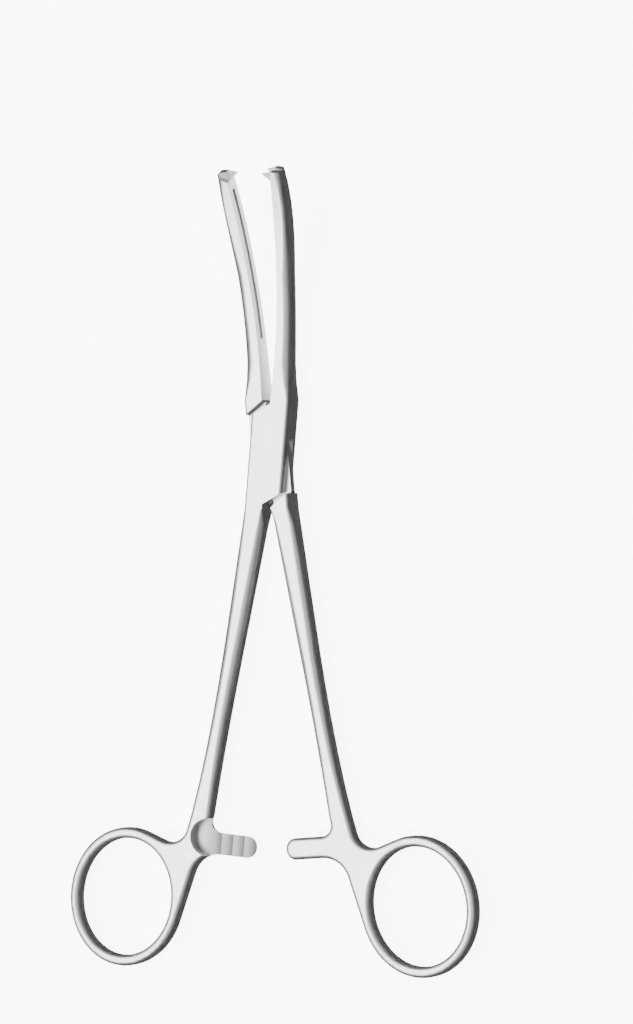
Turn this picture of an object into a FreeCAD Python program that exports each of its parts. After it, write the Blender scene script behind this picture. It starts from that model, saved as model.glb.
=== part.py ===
import FreeCAD, Part
import math
import os

# Hysterectomy forceps: two curved, toothed, box-locked halves and the pin they turn on.
# Frame: x across the rings, y along the instrument towards the jaw tips, z up.
# The origin is on the pin axis, in the plane of the underside of the lock.
# Each half is shaped with the jaws shut (faces on the plane x = 0) and then turned open.

V = FreeCAD.Vector
UP = V(0, 0, 1)
ACROSS = V(1, 0, 0)

doc = FreeCAD.newDocument("hysterectomy_forceps")

# Driving sizes, in millimetres and degrees
SIZES = [
    ("half_opening", 5, "turn of each half from shut, as the instrument lies"),
    ("lock_width", 10.2, "lock, side to side"),
    ("lock_depth", 6.8, "lock, underside to front"),
    ("lock_edge_radius", 0.9, "long edges of the lock"),
    ("plate_inner_end", 12.7, "pin to the end of the box plates at the meeting line"),
    ("plate_outer_end", 9.4, "pin to the end of the box plates at the side"),
    ("shoulder_gap", 0.9, "box plates to the shoulders of the insert half"),
    ("shoulder_length", 0.4, "shoulders to the end of the lock, at the meeting line"),
    ("waist_thickness", 2.3, "thinned middle of the insert half"),
    ("slot_clearance", 0.05, "waist to each face of the slot"),
    ("turning_radius", 6.2, "round part of the waist"),
    ("turning_clearance", 0.2, "round part of the waist to the end of the slot"),
    ("pin_diameter", 3.2, "lock pin"),
    ("pin_running_clearance", 0.04, "radial, pin to insert half"),
    ("pin_seat_clearance", 0.01, "radial, pin to box half"),
    ("face_clearance", 0.03, "each half's meeting face to the meeting plane"),
    ("jaw_straight_length", 5, "end of the lock to where the jaws start to curve"),
    ("jaw_curve_radius", 118, "middle line of the curved jaws"),
    ("jaw_curve_angle", 26.4, "turn of the curved jaws"),
    ("jaw_root_thickness", 4.9, "jaw, meeting face to back, past the lock"),
    ("jaw_curve_thickness", 4.7, "jaw where it starts to curve"),
    ("jaw_middle_thickness", 3.7, "jaw half way round the curve"),
    ("jaw_tip_thickness", 2.9, "jaw at the tip"),
    ("jaw_root_depth", 6.4, "jaw, underside to front, past the lock"),
    ("jaw_curve_depth", 6.1, "jaw where it starts to curve"),
    ("jaw_tip_depth", 4.6, "jaw at the tip"),
    ("jaw_root_radius", 1.4, "back corners of the jaw past the lock"),
    ("jaw_start_radius", 2.1, "back corners of the jaw where it starts to curve"),
    ("jaw_back_flat", 0.4, "flat left between the back corners, all along the jaw"),
    ("jaw_tip_radius", 0.8, "back corner of the tip"),
    ("groove_width", 1.5, "groove along each meeting face"),
    ("groove_bite", 0.6, "groove, below the meeting face"),
    ("groove_length", 39, "groove, along the curve"),
    ("groove_tip_margin", 5, "end of the groove to the tip"),
    ("tooth_height", 2.3, "tip teeth, above the meeting face"),
    ("tooth_length", 2.6, "tip teeth, along the jaw"),
    ("tooth_width", 1.7, "middle tooth at its foot"),
    ("tooth_crest", 0.3, "tip teeth at their points"),
    ("tooth_point_length", 0.35, "points of the tip teeth, along the jaw"),
    ("tooth_point_inset", 0.6, "points of the tip teeth to the end of the jaw"),
    ("tooth_margin", 0.1, "front and back teeth to the sides of the jaw"),
    ("tooth_root", 0.4, "feet of the tip teeth, below the meeting face"),
    ("tooth_clearance", 0.15, "tip teeth to the notches that take them"),
    ("shank_neck_length", 4.3, "end of the lock to where the shank has its own section"),
    ("shank_root_width", 5.9, "shank at the end of that neck"),
    ("shank_root_depth", 5.5, "shank there, back to front"),
    ("shank_root_radius", 1.5, "long edges of the shank there"),
    ("shank_inner_radius", 0.3, "inner edges of the shank where it leaves the lock"),
    ("shank_upper_width", 6.0, "shank at its widest, below the lock"),
    ("shank_upper_depth", 4.9, "shank there, back to front"),
    ("shank_upper_length", 15.4, "end of the lock to there"),
    ("shank_middle_width", 4.7, "shank half way to the rings"),
    ("shank_end_width", 5.6, "shank where it joins the handle"),
    ("shank_depth", 4.7, "shank from its middle down, back to front"),
    ("shank_edge_radius", 2.0, "long edges of the shank"),
    ("shank_upper_offset", 4.1, "middle line of the shank at its widest, from the meeting plane"),
    ("shank_middle_length", 48, "end of the lock to the slimmest part of the shank"),
    ("shank_middle_offset", 7.5, "middle line of the shank there, from the meeting plane"),
    ("shank_length", 79, "end of the lock to where the shank joins the handle"),
    ("shank_end_offset", 11.3, "middle line of the shank there, from the meeting plane"),
    ("ring_offset", 19.7, "ring centre from the middle line of the shank's end"),
    ("ring_drop", 23.4, "ring centre below the shank's end"),
    ("ring_inner_width", 26, "finger hole, across"),
    ("ring_inner_length", 30.1, "finger hole, along"),
    ("ring_wall", 2.8, "ring, hole to outside"),
    ("handle_depth", 4.2, "ring, web and ratchet bar, back to front"),
    ("handle_edge_radius", 1.3, "rounding of the ring, web and ratchet bar"),
    ("valley_offset", 4.9, "corner between shank and ring, from the middle line of the shank's end"),
    ("valley_drop", 9.5, "corner between shank and ring, below the shank's end"),
    ("valley_radius", 5, "rounding of that corner"),
    ("bar_drop", 7, "middle of the ratchet bars below the shank's end"),
    ("bar_height", 5.5, "ratchet bar, along the instrument"),
    ("bar_reach", 4.1, "ratchet bar, past the meeting plane when shut"),
    ("bar_upper_radius", 2.8, "corner between ratchet bar and shank"),
    ("bar_lower_radius", 7, "corner between ratchet bar and ring"),
    ("bar_tip_radius", 2.6, "corners of the ratchet bar's end"),
    ("bar_gap", 0.1, "crests of one ratchet bar to those of the other"),
    ("ratchet_pitch", 3.2, "ratchet teeth, one to the next"),
    ("ratchet_height", 0.8, "ratchet teeth"),
    ("ratchet_teeth", 4, "teeth on each bar"),
    ("recess_radius", 4.8, "scoop at the foot of the ratchet bar"),
    ("recess_rise", 1.5, "middle of the scoop above the middle of the bar"),
]

sheet = doc.addObject("Spreadsheet::Sheet", "Sizes")
for row, (alias, value, note) in enumerate(SIZES, start=1):
    sheet.set(f"A{row}", alias)
    sheet.set(f"B{row}", str(value))
    sheet.set(f"C{row}", note)
    sheet.setAlias(f"B{row}", alias)
doc.recompute()


def size(alias):
    """The sheet's value for one named size."""
    return float(sheet.get(alias))


half_width = size("lock_width") / 2
mid_height = size("lock_depth") / 2
lock_end = size("plate_inner_end") + size("shoulder_gap") + size("shoulder_length")
curve_start = lock_end + size("jaw_straight_length")
curve_length = size("jaw_curve_radius") * math.radians(size("jaw_curve_angle"))
shank_end = lock_end + size("shank_length")

# How far a cutting tool runs past what it cuts
OVERRUN = 1
# What is nearer than this counts as level or flush
TOUCHING = 0.001
# Sections along each curved jaw and each shank, closer together than shows in the finished curve
JAW_STEPS = 12
SHANK_STEPS = 9
# The most that an edge rounding takes of a wall, or a corner rounding of a side with one or two of them
ROUND_OF_WALL = 0.465
ALONE_ON_SIDE = 0.85
SHARING_SIDE = 0.49


# Sections and blanks of a forged half; side is +1 for a piece right of the meeting plane, -1 for left
def rounded_section(near, far, depth, near_radius, far_radius, side):
    """A closed outline in the x-z plane, from near to far of the meeting plane, its corners rounded."""
    corners = [
        (far, depth / 2, far_radius),
        (near, depth / 2, near_radius),
        (near, -depth / 2, near_radius),
        (far, -depth / 2, far_radius),
    ]
    diagonal = 1 - math.sqrt(0.5)
    points = []
    edges = []
    for index, (x, z, radius) in enumerate(corners):
        corner = V(side * x, 0, z)
        before = V(side * corners[index - 1][0], 0, corners[index - 1][1])
        after = V(side * corners[(index + 1) % 4][0], 0, corners[(index + 1) % 4][1])
        back = (before - corner).normalize()
        on = (after - corner).normalize()
        points.append((corner + back * radius, corner + on * radius))
        if radius:
            middle = corner + (back + on) * radius * diagonal
            edges.append(Part.Arc(points[-1][0], middle, points[-1][1]).toShape())
        else:
            edges.append(None)
    outline = []
    for index, arc in enumerate(edges):
        if arc:
            outline.append(arc)
        outline.append(Part.makeLine(points[index][1], points[(index + 1) % 4][0]))
    return Part.Wire(outline)


def on_station(section, station):
    """A section set square across the instrument, at a distance along it."""
    section.Placement = FreeCAD.Placement(V(0, station, mid_height), FreeCAD.Rotation())
    return section


def on_jaw(section, run):
    """A section set square across the jaw, at a distance from the pin along the jaw's middle line."""
    if run <= curve_start:
        return on_station(section, run)
    radius = size("jaw_curve_radius")
    turn = (run - curve_start) / radius
    along = curve_start + radius * math.sin(turn)
    height = mid_height + radius * (1 - math.cos(turn))
    section.Placement = FreeCAD.Placement(V(0, along, height), FreeCAD.Rotation(ACROSS, math.degrees(turn)))
    return section


def steps(start, end, count):
    """Evenly spaced values from start to end, both among them."""
    return [start + (end - start) * step / count for step in range(count + 1)]


def law(places, values):
    """A smooth run of values along the instrument, from those at a few places."""
    curve = Part.BSplineCurve()
    points = [V(place, value, 0) for place, value in zip(places, values)]
    curve.interpolate(Points=points, Parameters=places)
    return lambda place: curve.value(place).y


def jaw_blank(side):
    """A jaw from the lock to its tip: flat meeting face, rounded back, curved upwards."""
    near = size("face_clearance")
    neck_end = (lock_end + curve_start) / 2
    places = [neck_end, curve_start, curve_start + curve_length / 2, curve_start + curve_length]
    thickness = law(places, [
        size("jaw_root_thickness"),
        size("jaw_curve_thickness"),
        size("jaw_middle_thickness"),
        size("jaw_tip_thickness"),
    ])
    depth = law(places, [
        size("jaw_root_depth"),
        size("jaw_curve_depth"),
        (size("jaw_curve_depth") + size("jaw_tip_depth")) / 2,
        size("jaw_tip_depth"),
    ])
    flat = size("jaw_back_flat")
    back = law(places, [
        size("jaw_root_radius"),
        size("jaw_start_radius"),
        (depth(places[2]) - flat) / 2,
        (depth(places[3]) - flat) / 2,
    ])
    lock_section = rounded_section(near, half_width, size("lock_depth"), 0, size("lock_edge_radius"), side)
    sections = [on_jaw(lock_section, lock_end)]
    for run in [neck_end] + steps(curve_start, curve_start + curve_length, JAW_STEPS):
        radius = min(back(run), (depth(run) - flat) / 2, thickness(run) - flat)
        sections.append(on_jaw(rounded_section(near, thickness(run), depth(run), 0, radius, side), run))
    return Part.makeLoft(sections, True, True)


def end_outline(handle):
    """The outline of the handle's flat end, which the shank runs into."""
    for face in handle.Faces:
        if face.BoundBox.YLength < TOUCHING and abs(face.BoundBox.YMin + shank_end) < TOUCHING:
            return face.OuterWire
    raise RuntimeError("the handle has no flat end")


def shank_blank(side, handle):
    """A shank from the lock to the end of its handle, slimmest near its middle."""
    near = size("face_clearance")
    root = lock_end + size("shank_neck_length")
    places = [root, lock_end + size("shank_upper_length"), lock_end + size("shank_middle_length"), shank_end]
    centre = law(places, [
        near + size("shank_root_width") / 2,
        size("shank_upper_offset"),
        size("shank_middle_offset"),
        size("shank_end_offset"),
    ])
    width = law(places, [
        size("shank_root_width"),
        size("shank_upper_width"),
        size("shank_middle_width"),
        size("shank_end_width"),
    ])
    depth = law(places, [
        size("shank_root_depth"),
        size("shank_upper_depth"),
        size("shank_depth"),
        size("handle_depth"),
    ])
    edge = law(places, [
        size("shank_root_radius"),
        size("shank_edge_radius"),
        size("shank_edge_radius"),
        size("handle_edge_radius"),
    ])
    lock_section = rounded_section(
        near, half_width, size("lock_depth"), size("shank_inner_radius"), size("lock_edge_radius"), side)
    sections = [on_station(lock_section, -lock_end)]
    for place in steps(root, shank_end, SHANK_STEPS)[:-1]:
        radius = min(edge(place), ROUND_OF_WALL * depth(place), ROUND_OF_WALL * width(place))
        inner = centre(place) - width(place) / 2
        outer = centre(place) + width(place) / 2
        outline = rounded_section(inner, outer, depth(place), radius, radius, side)
        sections.append(on_station(outline, -place))
    sections.append(end_outline(handle))
    return Part.makeLoft(sections, True, True)


def tangent_point(point, centre, semi_width, semi_length, way):
    """Where a line from a point touches an upright ellipse, on the side that way (+1 or -1) picks."""
    across = (point.x - centre.x) / semi_width
    along = (point.y - centre.y) / semi_length
    bearing = math.atan2(along, across) + way * math.acos(1 / math.hypot(across, along))
    return centre + V(semi_width * math.cos(bearing), semi_length * math.sin(bearing), 0)


def ellipse_face(centre, semi_width, semi_length):
    """An upright elliptical face on the x-y plane."""
    tops = [centre + V(0, semi_length, 0), centre + V(semi_width, 0, 0)]
    if semi_width > semi_length:
        tops.reverse()
    return Part.Face(Part.Wire(Part.Ellipse(*tops, centre).toShape()))


def rounded_face(corners):
    """A plan face with corners of (point, radius), each rounding kept within the sides that it joins."""
    count = len(corners)
    outline = []
    ends = []
    for index, (corner, radius) in enumerate(corners):
        if not radius:
            ends.append((corner, corner))
            continue
        room = []
        sides = []
        for neighbour, neighbour_radius in (corners[index - 1], corners[(index + 1) % count]):
            side = neighbour - corner
            room.append(side.Length * (SHARING_SIDE if neighbour_radius else ALONE_ON_SIDE))
            sides.append(side.normalize())
        half_angle = sides[0].getAngle(sides[1]) / 2
        run = min(radius / math.tan(half_angle), *room)
        inwards = (sides[0] + sides[1]).normalize()
        middle = corner + inwards * run * (1 / math.cos(half_angle) - math.tan(half_angle))
        ends.append((corner + sides[0] * run, corner + sides[1] * run))
        outline.append(Part.Arc(ends[-1][0], middle, ends[-1][1]).toShape())
    for index, (_, leaving) in enumerate(ends):
        outline.append(Part.makeLine(leaving, ends[(index + 1) % count][0]))
    return Part.Face(Part.Wire(Part.sortEdges(outline)[0]))


def flat_edges(shape, height):
    """The edges of the face at a height, but for those on the end that joins the shank."""
    found = []
    for edge in shape.Edges:
        box = edge.BoundBox
        level = box.ZLength < TOUCHING and abs(box.ZMin - height) < TOUCHING
        joining = box.YLength < TOUCHING and abs(box.YMin + shank_end) < TOUCHING
        if level and not joining:
            found.append(edge)
    return found


def handle_blank(side):
    """The ring, its web and the ratchet bar, as one flat forging with rounded edges."""
    depth = size("handle_depth")
    floor = mid_height - depth / 2
    middle = size("shank_end_offset")
    # The ring stands upright as the instrument lies, so it is drawn turned back by the half opening
    turned = FreeCAD.Rotation(UP, side * size("half_opening"))
    upright = turned.inverted()

    def plan(offset, drop):
        return V(side * offset, -shank_end - drop, floor)

    semi_width = size("ring_inner_width") / 2
    semi_length = size("ring_inner_length") / 2
    outer = (semi_width + size("ring_wall"), semi_length + size("ring_wall"))
    end_near = plan(middle - size("shank_end_width") / 2, 0)
    end_far = plan(middle + size("shank_end_width") / 2, 0)
    valley = plan(middle + size("valley_offset"), size("valley_drop"))
    centre = upright.multVec(plan(middle + size("ring_offset"), size("ring_drop")))
    low_touch = turned.multVec(tangent_point(upright.multVec(end_near), centre, *outer, side))
    top_touch = turned.multVec(tangent_point(upright.multVec(valley), centre, *outer, -side))
    bar_top = size("bar_drop") - size("bar_height") / 2
    bar_bottom = size("bar_drop") + size("bar_height") / 2
    lean = (low_touch - end_near) / (end_near.y - low_touch.y)
    blank = rounded_face([
        (end_near, 0),
        (end_near + lean * bar_top, size("bar_upper_radius")),
        (plan(-size("bar_reach"), bar_top), size("bar_tip_radius")),
        (plan(-size("bar_reach"), bar_bottom), size("bar_tip_radius")),
        (end_near + lean * bar_bottom, size("bar_lower_radius")),
        (low_touch, 0),
        (turned.multVec(centre), 0),
        (top_touch, 0),
        (valley, size("valley_radius")),
        (end_far, 0),
    ])
    disc = ellipse_face(centre, *outer)
    hole = ellipse_face(centre, semi_width, semi_length)
    for face in (disc, hole):
        face.rotate(V(0, 0, 0), UP, side * size("half_opening"))
    up = V(0, 0, depth)
    solid = disc.extrude(up).fuse(blank.extrude(up)).removeSplitter().cut(hole.extrude(up))
    radius = min(size("handle_edge_radius"), ROUND_OF_WALL * size("ring_wall"), ROUND_OF_WALL * depth)
    return solid.makeFillet(radius, flat_edges(solid, floor) + flat_edges(solid, floor + depth))


# The lock: one rounded bar, cut to the outline of each half
def prism(points, bottom, top):
    """An upright prism on a plan outline of (x, y) corners."""
    corners = [V(x, y, bottom) for x, y in points]
    return Part.Face(Part.makePolygon(corners + corners[:1])).extrude(V(0, 0, top - bottom))


def lock_bar():
    """The full bar of the lock, its long edges rounded."""
    radius = size("lock_edge_radius")
    section = rounded_section(-half_width, half_width, size("lock_depth"), radius, radius, 1)
    section = on_station(section, -lock_end)
    return Part.Face(section).extrude(V(0, 2 * lock_end, 0))


def box_lock():
    """The box: full width between its slanted ends, and half width beyond them."""
    clear = size("face_clearance")
    half_outline = [
        (-half_width, size("plate_outer_end")),
        (clear, size("plate_inner_end")),
        (clear, lock_end),
        (half_width, lock_end),
    ]
    outline = half_outline + [(-x, -y) for x, y in half_outline]
    return lock_bar().common(prism(outline, 0, size("lock_depth")))


def insert_lock():
    """The insert: a shoulder at each end, and a thin waist with a round middle between them."""
    clear = size("face_clearance")
    gap = size("shoulder_gap")
    shoulder = [
        (-clear, lock_end),
        (-clear, size("plate_inner_end") + gap),
        (-half_width, size("plate_outer_end") + gap),
        (-half_width, lock_end),
    ]
    strip = [(-clear, lock_end), (-clear, 0), (-half_width, 0), (-half_width, lock_end)]
    thickness = size("waist_thickness")
    bottom = mid_height - thickness / 2
    disc = Part.makeCylinder(size("turning_radius"), thickness, V(0, 0, bottom))
    pieces = []
    for turn in (1, -1):
        pieces.append(prism([(turn * x, turn * y) for x, y in shoulder], 0, size("lock_depth")))
        pieces.append(prism([(turn * x, turn * y) for x, y in strip], bottom, bottom + thickness))
    return lock_bar().common(disc.fuse(pieces))


# Tip teeth, in the frame of the jaw's end: x off the meeting face, y along the jaw, z across it
def wedge(foot, point):
    """A tooth from its foot to its point, each (x, y from, y to, z from, z to)."""
    outlines = []
    for x, y_from, y_to, z_from, z_to in (foot, point):
        corners = [V(x, y_from, z_from), V(x, y_to, z_from), V(x, y_to, z_to), V(x, y_from, z_to)]
        outlines.append(Part.makePolygon(corners + corners[:1]))
    return Part.makeLoft(outlines, True, True)


def at_tip(shape):
    """The shape, moved from the frame of the jaw's end to its place."""
    shape.Placement = on_jaw(Part.Vertex(0, 0, 0), curve_start + curve_length).Placement
    return shape


def tooth_lengths(grow, past):
    """Where a tooth's foot and its point start and end along the jaw."""
    point_end = -size("tooth_point_inset")
    point_start = point_end - size("tooth_point_length")
    return (-size("tooth_length") - grow, past), (point_start - grow, point_end + past)


def middle_tooth(grow=0, past=0):
    """The single tooth of the insert half, or with growth, the notch that takes it."""
    foot_run, point_run = tooth_lengths(grow, past)
    half_foot = size("tooth_width") / 2 + grow
    half_crest = size("tooth_crest") / 2 + grow
    foot = (-size("tooth_root"), *foot_run, -half_foot, half_foot)
    point = (size("tooth_height") + grow, *point_run, -half_crest, half_crest)
    return at_tip(wedge(foot, point))


def side_tooth(way, grow=0, past=0):
    """One of the two teeth of the box half, front or back, or the notch that takes it."""
    foot_run, point_run = tooth_lengths(grow, past)
    inner = size("tooth_width") / 2 + size("tooth_clearance")
    outer = size("jaw_tip_depth") / 2 - size("tooth_margin")
    crest = (inner + outer) / 2
    half_crest = size("tooth_crest") / 2 + grow
    foot = (size("tooth_root"), *foot_run, way * (inner - grow), way * (outer + past))
    point_x = -size("tooth_height") - grow
    point = (point_x, *point_run, way * (crest - half_crest), way * (crest + half_crest + past))
    return at_tip(wedge(foot, point))


def tip_corner(side):
    """What is ground off the back corner of a jaw's tip to round it."""
    radius = size("jaw_tip_radius")
    depth = size("jaw_tip_depth") + OVERRUN
    middle = V(size("jaw_tip_thickness") - radius, -radius, -depth / 2)
    block = Part.makeBox(2 * radius, 2 * radius, depth, middle)
    corner = block.cut(Part.makeCylinder(radius, depth, middle))
    if side < 0:
        corner = corner.mirror(V(0, 0, 0), ACROSS)
    return at_tip(corner)


def face_groove():
    """The groove along the meeting faces, following the jaws' curve."""
    radius = size("jaw_curve_radius")
    bite = size("face_clearance") + size("groove_bite")
    end = curve_start + curve_length - size("groove_tip_margin")
    section = Part.Face(rounded_section(-bite, bite, size("groove_width"), 0, 0, 1))
    pole = V(0, curve_start, mid_height + radius)
    return on_jaw(section, end).revolve(pole, ACROSS, -math.degrees(size("groove_length") / radius))


def ratchet_cut():
    """What is milled off the box half's bar: its front, a half-moon at its foot, and the teeth."""
    crest = mid_height - size("bar_gap") / 2
    height = size("ratchet_height")
    pitch = size("ratchet_pitch")
    front = size("lock_depth") + OVERRUN
    middle = -shank_end - size("bar_drop")
    scoop = middle + size("recess_rise")
    margin = size("bar_height")
    start = size("bar_reach") - size("ratchet_teeth") * pitch
    floor = crest - height
    moon = Part.makeCylinder(size("recess_radius"), front - floor, V(0, scoop, floor), UP, 180)
    moon.rotate(V(0, scoop, 0), UP, 90)
    moon.translate(V(start, 0, 0))
    pieces = []
    for tooth in range(int(size("ratchet_teeth"))):
        foot = start + tooth * pitch
        corners = [
            V(foot, middle - margin, crest),
            V(foot + pitch, middle - margin, crest - height),
            V(foot + pitch, middle - margin, front),
            V(foot, middle - margin, front),
        ]
        face = Part.Face(Part.makePolygon(corners + corners[:1]))
        pieces.append(face.extrude(V(0, 2 * margin, 0)))
    return moon.fuse(pieces)


def feature(name, shape):
    """A document object that holds a shape worked out above."""
    made = doc.addObject("Part::Feature", name)
    made.Shape = shape
    return made


def bound(type_id, name, **sizes):
    """A primitive whose properties are bound to the sheet."""
    made = doc.addObject(type_id, name)
    for prop, expression in sizes.items():
        made.setExpression(prop.replace("_", "."), expression)
    return made


def fused(name, pieces):
    """Several document objects as one."""
    made = doc.addObject("Part::MultiFuse", name)
    made.Shapes = pieces
    made.Refine = False
    return made


def half(name, blank, cuts, turn):
    """A finished half: its blank less its cuts, turned open about the pin."""
    made = doc.addObject("Part::Cut", name)
    made.Base = fused(f"{name}_blank", blank)
    made.Tool = fused(f"{name}_cuts", cuts)
    made.Placement = FreeCAD.Placement(V(0, 0, 0), FreeCAD.Rotation(V(0, 0, turn), size("half_opening")))
    made.setExpression("Placement.Rotation.Angle", "Sizes.half_opening")
    return made


notch = {"grow": size("tooth_clearance"), "past": OVERRUN}
slot_height = "Sizes.waist_thickness + 2 * Sizes.slot_clearance"
slot_floor = "Sizes.lock_depth / 2 - Sizes.waist_thickness / 2 - Sizes.slot_clearance"
slot_disc = bound("Part::Cylinder", "slot_disc", Height=slot_height, Placement_Base_z=slot_floor,
                  Radius="Sizes.turning_radius + Sizes.turning_clearance")
slot_upper = bound("Part::Box", "slot_upper", Height=slot_height, Placement_Base_z=slot_floor,
                   Length="Sizes.lock_width", Width="Sizes.plate_inner_end",
                   Placement_Base_x="-Sizes.lock_width")
slot_lower = bound("Part::Box", "slot_lower", Height=slot_height, Placement_Base_z=slot_floor,
                   Length="Sizes.lock_width", Width="Sizes.plate_inner_end",
                   Placement_Base_y="-Sizes.plate_inner_end")
box_bore = bound("Part::Cylinder", "box_bore", Height="Sizes.lock_depth",
                 Radius="Sizes.pin_diameter / 2 + Sizes.pin_seat_clearance")
insert_bore = bound("Part::Cylinder", "insert_bore", Height="Sizes.lock_depth",
                    Radius="Sizes.pin_diameter / 2 + Sizes.pin_running_clearance")
lock_pin = bound("Part::Cylinder", "lock_pin", Height="Sizes.lock_depth", Radius="Sizes.pin_diameter / 2")

insert_ratchet = ratchet_cut()
insert_ratchet.rotate(V(0, 0, mid_height), V(0, 1, 0), 180)
left_handle = handle_blank(-1)
right_handle = handle_blank(1)
box_blank = [
    feature("box_jaw", jaw_blank(1)),
    feature("box_lock", box_lock()),
    feature("box_shank", shank_blank(-1, left_handle)),
    feature("box_handle", left_handle),
    feature("box_front_tooth", side_tooth(1)),
    feature("box_back_tooth", side_tooth(-1)),
]
box_cuts = [
    slot_disc,
    slot_upper,
    slot_lower,
    box_bore,
    feature("box_groove", face_groove()),
    feature("box_notch", middle_tooth(**notch)),
    feature("box_tip_corner", tip_corner(1)),
    feature("box_ratchet", ratchet_cut()),
]
insert_blank = [
    feature("insert_jaw", jaw_blank(-1)),
    feature("insert_lock", insert_lock()),
    feature("insert_shank", shank_blank(1, right_handle)),
    feature("insert_handle", right_handle),
    feature("insert_tooth", middle_tooth()),
]
insert_cuts = [
    insert_bore,
    feature("insert_groove", face_groove()),
    feature("insert_front_notch", side_tooth(1, **notch)),
    feature("insert_back_notch", side_tooth(-1, **notch)),
    feature("insert_tip_corner", tip_corner(-1)),
    feature("insert_ratchet", insert_ratchet),
]
box_half = half("box_half", box_blank, box_cuts, -1)
insert_half = half("insert_half", insert_blank, insert_cuts, 1)
doc.recompute()

for made in doc.Objects:
    if {"Invalid", "Error"} & set(made.State):
        raise RuntimeError(f"{made.Label} did not build: {made.State}")
os.makedirs("parts", exist_ok=True)
for made in (box_half, insert_half, lock_pin):
    shape = made.Shape
    if shape.isNull() or not shape.isValid() or len(shape.Solids) != 1:
        raise RuntimeError(f"{made.Label} is not one valid solid")
    shape.exportStep(f"parts/{made.Label}.step")
    box = shape.BoundBox
    extent = f"{box.XLength:.1f} x {box.YLength:.1f} x {box.ZLength:.1f} mm"
    print(f"{made.Label}: {shape.Volume:.0f} mm3, {extent}")
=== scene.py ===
import bmesh
import bpy
import math
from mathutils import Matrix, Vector


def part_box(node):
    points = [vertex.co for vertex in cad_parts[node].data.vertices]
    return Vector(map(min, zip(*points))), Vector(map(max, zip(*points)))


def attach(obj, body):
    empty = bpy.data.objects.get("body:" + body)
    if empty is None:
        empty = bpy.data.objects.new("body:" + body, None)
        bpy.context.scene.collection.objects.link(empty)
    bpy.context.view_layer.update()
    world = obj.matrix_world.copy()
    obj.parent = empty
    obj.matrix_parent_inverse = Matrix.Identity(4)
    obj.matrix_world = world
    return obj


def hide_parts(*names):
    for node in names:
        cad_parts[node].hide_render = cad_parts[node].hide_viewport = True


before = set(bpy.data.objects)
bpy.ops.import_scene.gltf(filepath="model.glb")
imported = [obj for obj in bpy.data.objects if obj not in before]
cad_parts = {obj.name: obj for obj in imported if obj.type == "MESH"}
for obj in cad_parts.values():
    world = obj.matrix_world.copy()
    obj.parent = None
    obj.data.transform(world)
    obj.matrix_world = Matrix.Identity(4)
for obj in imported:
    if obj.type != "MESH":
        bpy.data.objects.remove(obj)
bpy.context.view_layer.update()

# The drawing's frame and where it shows the lock pin, in pixels
FRAME_WIDTH = 633
FRAME_HEIGHT = 1024
PIN_X = 271.8
PIN_Y = 454
PIXELS_PER_METRE = 3950

# The camera's long lens, and how far the instrument is seen turned about its long axis
VIEW_TURN = math.radians(25)
LENS = 180
SENSOR = 36
NEAREST_SEEN = 0.01
FARTHEST_SEEN = 20

# The side that a half's jaw is on, and how far the half is turned from shut
RIGHT_JAW = 1
LEFT_JAW = -1
NO_JAW = 0
HALF_OPENING = math.radians(5)

# A half's skin: points this close are one, edges this sharp stay crisp, and flat faces lead the shading
ONE_POINT = 0.000002
CRISP_ANGLE = math.radians(28)
FLAT_FACES_LEAD = 100

# The places below are on a half that is shut: outwards from the pin to its own jaw's side, along the
# instrument from the pin to the tips, and up from the floor.

# The ground meeting face: a thin skin where the halves meet, wholly ground inside, from the lock to the tip
MEETING_SKIN = 0.00012
WHOLLY_GROUND = 0.000072
LOCK_END = 0.0137
LOCK_BORDER = 0.0002

# The ratchet: where its teeth start and their pitch, the scoop before them, and how far both reach along
RATCHET_START = -0.0087
RATCHET_PITCH = 0.0032
SCOOP_LENGTH = 0.0048
RATCHET_MIDDLE = -0.1
RATCHET_REACH = 0.0033
SCOOP_REACH = 0.0066
# The tooth crests lie at mid height, and the roots this far from it
MID_HEIGHT = 0.0034
TOOTH_DEPTH = 0.0009

# The insert half's slanted shoulders: how steeply they run back, and the band that holds them, painted with
# shade
SHOULDER_SLOPE = 0.651
SHOULDER_NEAR = 0.0133
SHOULDER_FAR = 0.01364

# Borders of the painted shade on the milled ratchet and the shoulders
CRISP_BORDER = 0.00001
LEVEL_BORDER = 0.00002
BAR_BORDER = 0.0001

# How much painted shade lies on the ratchet and the shoulders, from 0 for satin steel to 1 for the dark
# shade colour, and a tooth's share left bright at its crest
CREST_SHARE = 0.1
TOOTH_ROOT_SHADE = 0.88
SCOOP_START_SHADE = 0.2
SCOOP_END_SHADE = 0.93
SHOULDER_SHADE = 0.95

# Noises of the satin finish: scales across, along and up the instrument, then detail and roughness
FINE_LINES = ((7000, 450, 7000), 4.0, 0.6)
CLOUDS = ((240, 110, 240), 3.0, 0.55)
GRAIN = ((2600, 2600, 2600), 2.0, 0.6)
# Where most of the lines and clouds lie when added up, and the roughness that they give
LINES_AND_CLOUDS = (0.6, 1.4)
SATIN_ROUGHNESS = (0.36, 0.46)
MORE_ROUGH_WHERE_GROUND = 0.2
LINE_STRENGTH = 0.12
LINE_DEPTH = 0.00003
# Satin steel scatters a little of the light that falls on it, and a ground face about half
SATIN_METAL = 0.985
GROUND_METAL = 0.45
# The steel's tones, and where most of the grain lies between them
GRAIN_RANGE = (0.35, 0.65)
STEEL_TONES = ((0.655, 0.66, 0.665, 1), (0.70, 0.702, 0.705, 1))
# A dark steel colour, painted as shade on the ratchet's scoop and teeth and on the insert half's shoulders
PAINTED_SHADE_STEEL = (0.13, 0.132, 0.135, 1)

# The floor is pale paper just under the instrument, and glows as a light table does
FLOOR_SIZE = 6
FLOOR_DROP = 0.00005
FLOOR_GLOW = 8
PALE_PAPER = (0.93, 0.93, 0.93, 1)
PAPER_ROUGHNESS = 0.9
PAPER_SHINE = 0.1
WHITE = (1, 1, 1, 1)
ROOM_LIGHT = 0.03

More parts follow.
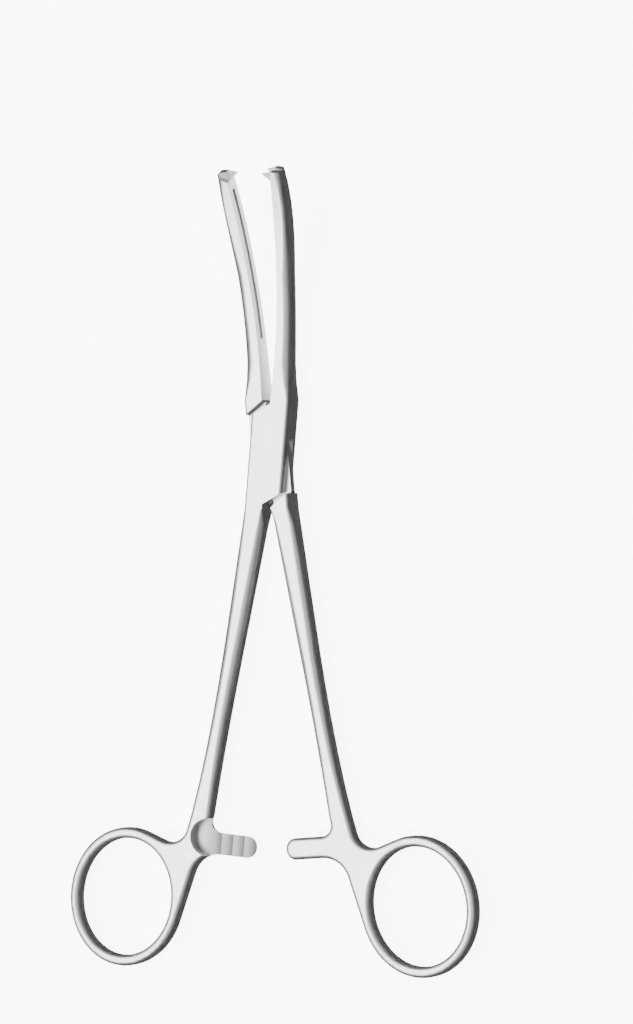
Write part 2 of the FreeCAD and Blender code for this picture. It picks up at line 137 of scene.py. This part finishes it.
# The soft lights' distance, their length, and their place along the instrument
LIGHT_DISTANCE = 2.2
LIGHT_LENGTH = 3.6
LIGHT_ALONG = -0.02


def fill(tree, socket, value):
    """A node's input gets another node's output or a plain value."""
    if isinstance(value, bpy.types.NodeSocket):
        tree.links.new(value, socket)
    else:
        socket.default_value = value


def set_node(tree, kind, **inputs):
    """A shader node with some of its inputs filled."""
    made = tree.nodes.new(kind)
    for name, value in inputs.items():
        fill(tree, made.inputs[name.replace("_", " ")], value)
    return made


def stretched_noise(tree, place, scale, detail, roughness):
    """A noise with its own scale across, along and up the instrument."""
    spread = set_node(tree, "ShaderNodeMapping", Vector=place, Scale=scale).outputs["Vector"]
    noise = set_node(tree, "ShaderNodeTexNoise", Vector=spread, Scale=1.0, Detail=detail)
    fill(tree, noise.inputs["Roughness"], roughness)
    return noise.outputs["Fac"]


def mapped(tree, value, start, end, low, high):
    """A value spread from one range onto another."""
    spread = set_node(
        tree, "ShaderNodeMapRange", Value=value, From_Min=start, From_Max=end, To_Min=low, To_Max=high
    )
    return spread.outputs["Result"]


def combined(tree, operation, *values):
    """The result of one sum."""
    node = tree.nodes.new("ShaderNodeMath")
    node.operation = operation
    for socket, value in zip(node.inputs, values):
        fill(tree, socket, value)
    return node.outputs["Value"]


def mixed(tree, kind, share, first, second):
    """Between two numbers or colours, by a share from 0 to 1."""
    node = tree.nodes.new("ShaderNodeMix")
    node.data_type = kind
    fill(tree, node.inputs["Factor"], share)
    fill(tree, node.inputs["A"], first)
    fill(tree, node.inputs["B"], second)
    return node.outputs["Result"]


def within(tree, value, low, high, border):
    """One between two bounds, falling to nothing over a border outside them."""
    entered = mapped(tree, value, low - border, low, 0.0, 1.0)
    left = mapped(tree, value, high, high + border, 1.0, 0.0)
    return combined(tree, "MULTIPLY", entered, left)


def places_when_shut(tree, place, jaw_side):
    """Outwards, along and up on a half, as if it were turned back to shut."""
    turned = set_node(tree, "ShaderNodeMapping", Vector=place, Rotation=(0, 0, jaw_side * HALF_OPENING))
    shut = set_node(tree, "ShaderNodeSeparateXYZ", Vector=turned.outputs["Vector"]).outputs
    outwards = mapped(tree, shut["X"], -1.0, 1.0, -jaw_side, jaw_side)
    return outwards, shut["Y"], shut["Z"]


def ground_face(tree, outwards, along):
    """Where a jaw's flat meeting face is, ground matt."""
    skin = mapped(tree, outwards, WHOLLY_GROUND, MEETING_SKIN, 1.0, 0.0)
    past_lock = mapped(tree, along, LOCK_END, LOCK_END + LOCK_BORDER, 0.0, 1.0)
    return combined(tree, "MULTIPLY", skin, past_lock)


def tooth_painted_shade(tree, outwards):
    """Painted shade on each ratchet tooth, darkening from its bright crest down to its root."""
    teeth = mapped(tree, outwards, RATCHET_START, RATCHET_START + RATCHET_PITCH, 0.0, 1.0)
    teeth.node.clamp = False
    down = mapped(tree, combined(tree, "FRACT", teeth), CREST_SHARE, 1.0, 0.0, TOOTH_ROOT_SHADE)
    down.node.interpolation_type = "SMOOTHSTEP"
    return down


def ratchet_painted_shade(tree, outwards, along, up, jaw_side):
    """Painted shade on the ratchet bar's milled side: on its teeth, and darkening along the scoop before
    them.
    """
    scoop_start = RATCHET_START - SCOOP_LENGTH
    scoop = mapped(tree, outwards, scoop_start, RATCHET_START, SCOOP_START_SHADE, SCOOP_END_SHADE)
    past_scoop = mapped(tree, outwards, RATCHET_START - CRISP_BORDER, RATCHET_START, 0.0, 1.0)
    painted_shade = mixed(tree, "FLOAT", past_scoop, scoop, tooth_painted_shade(tree, outwards))
    on_bar = within(tree, along, RATCHET_MIDDLE - RATCHET_REACH, RATCHET_MIDDLE + SCOOP_REACH, BAR_BORDER)
    roots = MID_HEIGHT - jaw_side * TOOTH_DEPTH
    teeth_level = within(tree, up, min(MID_HEIGHT, roots), max(MID_HEIGHT, roots), LEVEL_BORDER)
    return combined(tree, "MULTIPLY", painted_shade, combined(tree, "MULTIPLY", on_bar, teeth_level))


def shoulder_painted_shade(tree, outwards, along):
    """Painted shade on the insert half's two slanted shoulders, a dark band where the gap beside the box
    lies in shadow.
    """
    slant = combined(tree, "MULTIPLY_ADD", outwards, SHOULDER_SLOPE, along)
    from_pin = combined(tree, "ABSOLUTE", slant)
    faces = within(tree, from_pin, SHOULDER_NEAR, SHOULDER_FAR, CRISP_BORDER)
    return mapped(tree, faces, 0.0, 1.0, 0.0, SHOULDER_SHADE)


def grained_tone(tree, place):
    """The steel's own tone, which varies a little with its grain."""
    tone = tree.nodes.new("ShaderNodeValToRGB")
    fill(tree, tone.inputs["Fac"], stretched_noise(tree, place, *GRAIN))
    for stop, position, colour in zip(tone.color_ramp.elements, GRAIN_RANGE, STEEL_TONES):
        stop.position = position
        stop.color = colour
    return tone.outputs["Color"]


def satin_steel(name, jaw_side):
    """Satin stainless steel: fine lines along the instrument, faint clouding and grain.

    A half also has its ground meeting face and painted shade on its milled ratchet, and the insert half
    painted shade on its shoulders.
    """
    material = bpy.data.materials.new(name)
    material.use_nodes = True
    tree = material.node_tree
    place = tree.nodes.new("ShaderNodeTexCoord").outputs["Object"]

    lines = stretched_noise(tree, place, *FINE_LINES)
    clouds = stretched_noise(tree, place, *CLOUDS)
    lines_and_clouds = combined(tree, "ADD", lines, clouds)
    roughness = mapped(tree, lines_and_clouds, *LINES_AND_CLOUDS, *SATIN_ROUGHNESS)
    colour = grained_tone(tree, place)
    metal = SATIN_METAL

    if jaw_side != NO_JAW:
        outwards, along, up = places_when_shut(tree, place, jaw_side)
        ground = ground_face(tree, outwards, along)
        metal = mapped(tree, ground, 0.0, 1.0, SATIN_METAL, GROUND_METAL)
        more_rough = mapped(tree, ground, 0.0, 1.0, 0.0, MORE_ROUGH_WHERE_GROUND)
        roughness = combined(tree, "ADD", roughness, more_rough)
        painted_shade = ratchet_painted_shade(tree, outwards, along, up, jaw_side)
        if jaw_side == LEFT_JAW:
            painted_shade = combined(tree, "MAXIMUM", painted_shade, shoulder_painted_shade(tree, outwards, along))
        # Painted shade: the ratchet's scoop and teeth and the insert half's shoulders are darkened towards
        # a dark steel colour
        colour = mixed(tree, "RGBA", painted_shade, colour, PAINTED_SHADE_STEEL)

    bump = set_node(tree, "ShaderNodeBump", Strength=LINE_STRENGTH, Distance=LINE_DEPTH, Height=lines)
    shader = tree.nodes["Principled BSDF"]
    fill(tree, shader.inputs["Base Color"], colour)
    fill(tree, shader.inputs["Metallic"], metal)
    fill(tree, shader.inputs["Roughness"], roughness)
    fill(tree, shader.inputs["Normal"], bump.outputs["Normal"])
    return material


def finished_half(node, body, name, steel):
    """A forged half's own skin, its loose facets joined and its rounded faces shaded smooth."""
    skin = bmesh.new()
    skin.from_mesh(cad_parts[node].data)
    bmesh.ops.remove_doubles(skin, verts=skin.verts, dist=ONE_POINT)
    for edge in skin.edges:
        edge.smooth = edge.calc_face_angle(math.pi) < CRISP_ANGLE
    for face in skin.faces:
        face.smooth = True
    mesh = bpy.data.meshes.new(name)
    skin.to_mesh(mesh)
    skin.free()
    mesh.materials.append(steel)
    piece = bpy.data.objects.new(name, mesh)
    bpy.context.scene.collection.objects.link(piece)
    level = piece.modifiers.new("flat_faces_stay_flat", "WEIGHTED_NORMAL")
    level.weight = FLAT_FACES_LEAD
    level.keep_sharp = True
    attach(piece, body)
    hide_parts(node)


def floor():
    """The glowing paper floor."""
    bpy.ops.mesh.primitive_plane_add(size=FLOOR_SIZE, location=(0, 0, -FLOOR_DROP))
    ground = bpy.context.object
    ground.name = "floor"
    paper = bpy.data.materials.new("floor_paper")
    paper.use_nodes = True
    shader = paper.node_tree.nodes["Principled BSDF"]
    shader.inputs["Base Color"].default_value = PALE_PAPER
    shader.inputs["Roughness"].default_value = PAPER_ROUGHNESS
    shader.inputs["Specular IOR Level"].default_value = PAPER_SHINE
    shader.inputs["Emission Color"].default_value = WHITE
    shader.inputs["Emission Strength"].default_value = FLOOR_GLOW
    ground.data.materials.append(paper)
    # The steel doesn't mirror the floor, so that its rounded edges turn dark
    ground.visible_glossy = False


def dim_room():
    """The dim white room around the lights."""
    world = bpy.data.worlds.new("studio")
    world.use_nodes = True
    background = world.node_tree.nodes["Background"]
    background.inputs["Color"].default_value = WHITE
    background.inputs["Strength"].default_value = ROOM_LIGHT
    bpy.context.scene.world = world


def soft_box(name, angle, width, power):
    """A long soft light over the instrument, its angle in degrees from straight up towards the right."""
    data = bpy.data.lights.new(name, "AREA")
    data.shape = "RECTANGLE"
    data.size = width
    data.size_y = LIGHT_LENGTH
    data.energy = power
    lamp = bpy.data.objects.new(name, data)
    turn = math.radians(angle)
    lamp.location = (LIGHT_DISTANCE * math.sin(turn), LIGHT_ALONG, LIGHT_DISTANCE * math.cos(turn))
    lamp.rotation_euler = (0, turn, 0)
    bpy.context.scene.collection.objects.link(lamp)


def camera():
    """A long lens on the drawing's view, with the lock pin where the drawing has it."""
    data = bpy.data.cameras.new("camera")
    data.lens = LENS
    data.sensor_width = SENSOR
    data.clip_start = NEAREST_SEEN
    data.clip_end = FARTHEST_SEEN
    view = bpy.data.objects.new("camera", data)
    back = Vector((math.sin(VIEW_TURN), 0, math.cos(VIEW_TURN)))
    right = Vector((math.cos(VIEW_TURN), 0, -math.sin(VIEW_TURN)))
    up = Vector((0, 1, 0))
    pin_low, pin_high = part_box("lock_pin")
    pin_middle = Vector((0, 0, (pin_low.z + pin_high.z) / 2))
    pin_to_middle = (FRAME_WIDTH / 2 - PIN_X) / PIXELS_PER_METRE
    pin_above_middle = (FRAME_HEIGHT / 2 - PIN_Y) / PIXELS_PER_METRE
    distance = LENS / SENSOR * FRAME_HEIGHT / PIXELS_PER_METRE
    view.location = pin_middle + right * pin_to_middle - up * pin_above_middle + back * distance
    view.rotation_euler = (0, VIEW_TURN, 0)
    bpy.context.scene.collection.objects.link(view)
    bpy.context.scene.camera = view


box_half_finish = satin_steel("box_half_satin_steel", RIGHT_JAW)
insert_half_finish = satin_steel("insert_half_satin_steel", LEFT_JAW)
finished_half("box_half", "box_side", "box_half_steel", box_half_finish)
finished_half("insert_half", "insert_side", "insert_half_steel", insert_half_finish)
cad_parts["lock_pin"].material_slots[0].material = satin_steel("lock_pin_steel", NO_JAW)
floor()
dim_room()
soft_box("key_light", angle=-27, width=1.2, power=125)
soft_box("left_light", angle=-66, width=1.4, power=3)
soft_box("right_light", angle=30, width=1.6, power=15)
camera()
